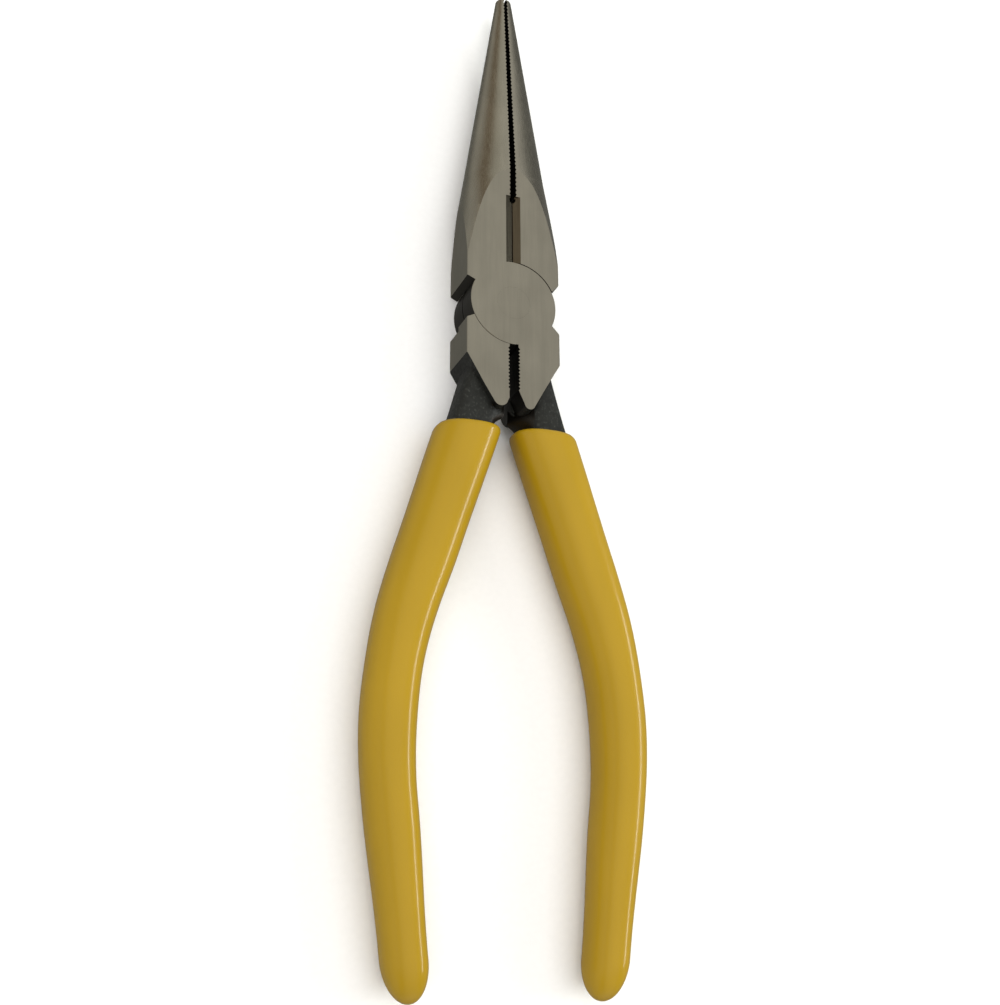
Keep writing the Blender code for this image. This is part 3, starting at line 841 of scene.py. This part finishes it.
def ground_steel(name, colour, roughness, grain):
    """Steel ground along the tool: soft lengthwise bands under a fine grain."""
    finish = Finish(name, roughness, 1.0)
    bands = finish.noise((900, 55, 900), 2.0)
    fine = finish.noise((7000, 160, 7000), 3.0, (3, 1, 5))
    clouds = finish.noise((140, 110, 140), 3.0, (7, 2, 1))
    base = finish.ramp(clouds, ((0.35, shade(colour, 0.95)), (0.65, shade(colour, 1.05))))
    tone = finish.ramp(bands, ((0.3, (0.96,) * 3), (0.7, (1.04,) * 3)))
    streak = finish.ramp(fine, ((0.3, (1 - grain,) * 3), (0.7, (1 + grain,) * 3)))
    finish.colour(finish.mix(finish.mix(base, tone, 'MULTIPLY', 1.0), streak, 'MULTIPLY', 1.0))
    finish.roughness(fine, roughness - 0.06, roughness + 0.08)
    finish.bump(fine, 0.004 * MM, 0.4)
    return finish.material


def forging_scale(name, colour):
    """Black scale on forged steel: a fine pebbled skin with a few rubbed spots."""
    finish = Finish(name, 0.5, 0.35)
    pebble = finish.noise((1500, 1500, 1500), 4.0)
    lumps = finish.noise((900, 700, 900), 3.0, (2, 9, 4))
    patches = finish.noise((2300, 1600, 2300), 5.0, (5, 3, 8))
    base = finish.ramp(lumps, ((0.3, shade(colour, 0.8)), (0.7, shade(colour, 1.2))))
    rubbed = finish.ramp(patches, ((0.55, (1.0,) * 3), (0.72, (2.8,) * 3)))
    finish.colour(finish.mix(base, rubbed, 'MULTIPLY', 1.0))
    finish.roughness(pebble, 0.42, 0.6)
    finish.bump(pebble, 0.04 * MM, 0.5)
    finish.bump(lumps, 0.05 * MM, 0.4)
    return finish.material


def vinyl(name, colour):
    """Dipped vinyl: glossy, with a slow drift in tone and a barely uneven skin."""
    finish = Finish(name, 0.3, 0.0)
    drift = finish.noise((60, 35, 60), 2.0)
    skin = finish.noise((260, 120, 260), 2.0, (1, 4, 2))
    specks = finish.noise((2600, 2600, 2600), 2.0, (6, 1, 3))
    finish.colour(finish.ramp(drift, ((0.3, shade(colour, 0.95)), (0.7, shade(colour, 1.05)))))
    finish.roughness(specks, 0.34, 0.42)
    finish.bump(skin, 0.05 * MM, 0.2)
    finish.bump(specks, 0.002 * MM, 0.3)
    finish.shader.inputs["IOR"].default_value = 1.45
    finish.shader.inputs["Specular IOR Level"].default_value = 0.2
    finish.shader.inputs["Coat Weight"].default_value = 0.5
    finish.shader.inputs["Coat Roughness"].default_value = 0.15
    return finish.material


STEEL = (0.445, 0.42, 0.35)
flat_steel = ground_steel("ground_flat", STEEL, 0.42, 0.05)
side_steel = ground_steel("ground_side", STEEL, 0.4, 0.06)
nose_steel = ground_steel("ground_nose", STEEL, 0.27, 0.08)
# Painted shade: the cutter's bevels are darker than the other ground steel, and darker still on the
# left half
blade_painted_shade = ground_steel("ground_blade_painted_shade", (0.215, 0.185, 0.135), 0.4, 0.1)
blade_deeper_painted_shade = ground_steel("dark_blade_painted_shade", (0.12, 0.11, 0.082), 0.4, 0.2)
# Painted shade: near-black steel where the joint, the teeth and the crotch lie in shade
painted_shade_steel = ground_steel("joint_painted_shade", (0.075, 0.07, 0.062), 0.45, 0.08)
# Painted highlight: the broken edges are lighter than the rest of the ground steel
edge_painted_highlight = ground_steel("broken_edge_painted_highlight", shade(STEEL, 1.15), 0.35, 0.04)
scale_black = forging_scale("forging_scale", (0.0165, 0.0175, 0.0155))
yellow_vinyl = vinyl("yellow_vinyl", (0.335, 0.205, 0.006))


# Pieces

def place(name, mesh, turned, materials):
    """A copy of a mesh that was made about the pivot, turned half a turn about Y if asked."""
    turn = Matrix.Rotation(math.pi if turned else 0.0, 4, 'Y')
    copy = mesh.copy()
    copy.transform(Matrix.Translation(PIVOT) @ turn)
    for material in materials:
        copy.materials.append(material)
    return add_object(name, copy)


def settle(piece, body, node):
    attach(piece, body)
    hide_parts(node)


sleeve = sleeve_mesh()
rivet = turned_mesh("rivet", rivet_profile(RIVET_GAP - RIVET_SEAM, 0.0))
rivet.set_sharp_from_angle(angle=RIVET_SHARP)

# In the order of a forging's regions; the bevels of the left half's blade carry a deeper painted
# shade
left_finishes = (
    flat_steel, side_steel, nose_steel, blade_deeper_painted_shade, painted_shade_steel, scale_black, edge_painted_highlight
)
right_finishes = (
    flat_steel, side_steel, nose_steel, blade_painted_shade, painted_shade_steel, scale_black, edge_painted_highlight
)
left_half = finish_forging(forging_mesh(False))
right_half = finish_forging(forging_mesh(True))
PIECES = (
    ("left_half", left_half, False, left_finishes, "left_jaw_half", "forged_steel"),
    ("right_half", right_half, True, right_finishes, "right_jaw_half", "forged_steel"),
    ("right_sleeve", sleeve, False, (yellow_vinyl,), "right_handle_sleeve", "yellow_vinyl"),
    ("left_sleeve", sleeve, True, (yellow_vinyl,), "left_handle_sleeve", "yellow_vinyl"),
    ("rivet", rivet, False, (flat_steel,), "rivet_pin", "rivet_steel"),
)
for name, mesh, turned, materials, node, slot in PIECES:
    body = frame["nodes"][node]["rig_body"]
    settle(place(name, mesh, turned, materials), body, node)


# Studio

def build_floor():
    """A round pale floor that curves up at its rim; the metal reflects the dome instead of it."""
    rim = arc((FLOOR_RADIUS, FLOOR_RIM), FLOOR_RIM, math.radians(-90), 0.0, 12)
    floor = add_object("floor", turned_mesh("floor", [(0.0, 0.0), *rim]))
    floor.data.shade_smooth()
    finish = Finish("floor_paper", 0.9, 0.0)
    fibres = finish.noise((900, 900, 900), 3.0)
    finish.colour(finish.ramp(fibres, ((0.3, (0.85, 0.85, 0.85)), (0.7, (0.87, 0.87, 0.87)))))
    floor.data.materials.append(finish.material)
    floor.visible_glossy = False


def build_world():
    """A soft dome: grey on the left, then brown, light overhead and dark on the right."""
    world = bpy.data.worlds.new("studio")
    bpy.context.scene.world = world
    world.use_nodes = True
    nodes = world.node_tree.nodes
    links = world.node_tree.links
    coordinate = nodes.new("ShaderNodeTexCoord")
    split = nodes.new("ShaderNodeSeparateXYZ")
    across = nodes.new("ShaderNodeMapRange")
    across.inputs["From Min"].default_value = -1.0
    ramp = nodes.new("ShaderNodeValToRGB")
    set_stops(ramp, DOME)
    above = nodes.new("ShaderNodeMapRange")
    above.inputs["From Min"].default_value = -DOME_FADE
    above.inputs["From Max"].default_value = 0.0
    choice = nodes.new("ShaderNodeMix")
    choice.data_type = 'RGBA'
    choice.inputs["A"].default_value = (*DOME_BELOW, 1.0)
    links.new(coordinate.outputs["Generated"], split.inputs["Vector"])
    links.new(split.outputs["X"], across.inputs["Value"])
    links.new(split.outputs["Z"], above.inputs["Value"])
    links.new(across.outputs["Result"], ramp.inputs["Fac"])
    links.new(above.outputs["Result"], choice.inputs["Factor"])
    links.new(ramp.outputs["Color"], choice.inputs["B"])
    links.new(choice.outputs["Result"], nodes["Background"].inputs["Color"])


def add_lamp(name, direction, distance, size, power, glossy, tint):
    """A rectangular soft lamp that shines at the pliers; only a glossy one shows in the steel."""
    data = bpy.data.lights.new(name, 'AREA')
    data.shape = 'RECTANGLE'
    data.size, data.size_y = size
    data.energy = power
    data.color = tint
    lamp = add_object(name, data)
    towards = Vector(direction).normalized()
    lamp.location = towards * distance
    lamp.rotation_euler = towards.to_track_quat('Z', 'Y').to_euler()
    lamp.visible_glossy = glossy
    lamp.visible_camera = False


def build_camera():
    data = bpy.data.cameras.new("camera")
    data.sensor_width = 36.0
    data.lens = CAMERA_LENS
    data.clip_start = 0.01
    data.clip_end = 20.0
    camera = add_object("camera", data)
    camera.location = Vector(CAMERA_PLACE) + Vector((0.0, 0.0, PIVOT.z))
    camera.rotation_euler = Euler([math.radians(turn) for turn in CAMERA_TURN])
    bpy.context.scene.camera = camera


build_floor()
build_world()
for lamp in LAMPS:
    add_lamp(*lamp)
build_camera()
bpy.context.scene.view_settings.view_transform = 'Standard'
